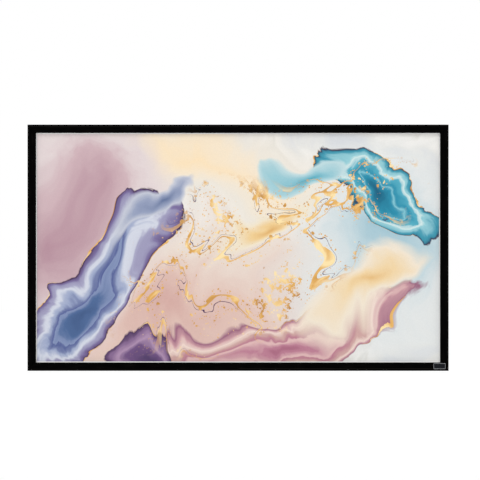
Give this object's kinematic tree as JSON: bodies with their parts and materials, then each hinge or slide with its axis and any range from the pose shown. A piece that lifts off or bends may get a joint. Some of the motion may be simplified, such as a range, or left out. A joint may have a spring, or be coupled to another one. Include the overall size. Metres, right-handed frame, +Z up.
{
  "type": "fixed frame projector screen",
  "caption": "Wide wall-hung projector screen: flat white fabric stretched by rods and clips in a mitred frame of velvet-covered aluminium, with hook-on wall brackets.",
  "frame": {"origin": "centre of the whole screen's bounding box", "axes": "+X is the viewer's right, +Y runs back to the wall, +Z is up; the picture faces -Y"},
  "size_m": [2.334, 0.0364, 1.365],
  "materials": {
    "velvet_frame": "extruded aluminium wrapped in matt black velvet",
    "screen_fabric": "matt white PVC projection fabric",
    "zinc_joiner": "zinc plated steel",
    "bare_aluminium": "clear anodised",
    "glass_fibre_rod": "pultruded glass fibre, satin",
    "nylon": "moulded black nylon",
    "black_steel": "black powder coat",
    "badge_metal": "dark plate with a polished rim"
  },
  "bodies": {
    "root": {"top_rail_left": "velvet_frame", "top_rail_right": "velvet_frame", "bottom_rail_left": "velvet_frame", "bottom_rail_right": "velvet_frame", "left_rail": "velvet_frame", "right_rail": "velvet_frame", "corner_elbow_bottom_left": "zinc_joiner", "corner_elbow_bottom_right": "zinc_joiner", "corner_elbow_top_right": "zinc_joiner", "corner_elbow_top_left": "zinc_joiner", "rail_splice_top": "zinc_joiner", "rail_splice_bottom": "zinc_joiner", "projection_fabric": "screen_fabric", "tension_rod_top_left": "glass_fibre_rod", "tension_rod_top_right": "glass_fibre_rod", "tension_rod_bottom_left": "glass_fibre_rod", "tension_rod_bottom_right": "glass_fibre_rod", "tension_rod_left": "glass_fibre_rod", "tension_rod_right": "glass_fibre_rod", "tension_clip_bottom_1": "nylon", "tension_clip_bottom_2": "nylon", "tension_clip_bottom_3": "nylon", "tension_clip_bottom_4": "nylon", "tension_clip_bottom_5": "nylon", "tension_clip_bottom_6": "nylon", "tension_clip_bottom_7": "nylon", "tension_clip_bottom_8": "nylon", "tension_clip_bottom_9": "nylon", "tension_clip_bottom_10": "nylon", "tension_clip_left_1": "nylon", "tension_clip_left_2": "nylon", "tension_clip_left_3": "nylon", "tension_clip_left_4": "nylon", "tension_clip_left_5": "nylon", "tension_clip_left_6": "nylon", "tension_clip_top_1": "nylon", "tension_clip_top_2": "nylon", "tension_clip_top_3": "nylon", "tension_clip_top_4": "nylon", "tension_clip_top_5": "nylon", "tension_clip_top_6": "nylon", "tension_clip_top_7": "nylon", "tension_clip_top_8": "nylon", "tension_clip_top_9": "nylon", "tension_clip_top_10": "nylon", "tension_clip_right_1": "nylon", "tension_clip_right_2": "nylon", "tension_clip_right_3": "nylon", "tension_clip_right_4": "nylon", "tension_clip_right_5": "nylon", "tension_clip_right_6": "nylon", "support_bar": "bare_aluminium", "support_bar_plug_top": "nylon", "support_bar_plug_bottom": "nylon", "wall_bracket_top_left": "black_steel", "wall_bracket_top_right": "black_steel", "wall_bracket_bottom_left": "black_steel", "wall_bracket_bottom_right": "black_steel", "badge_plate": "badge_metal"}
  },
  "joints": []
}
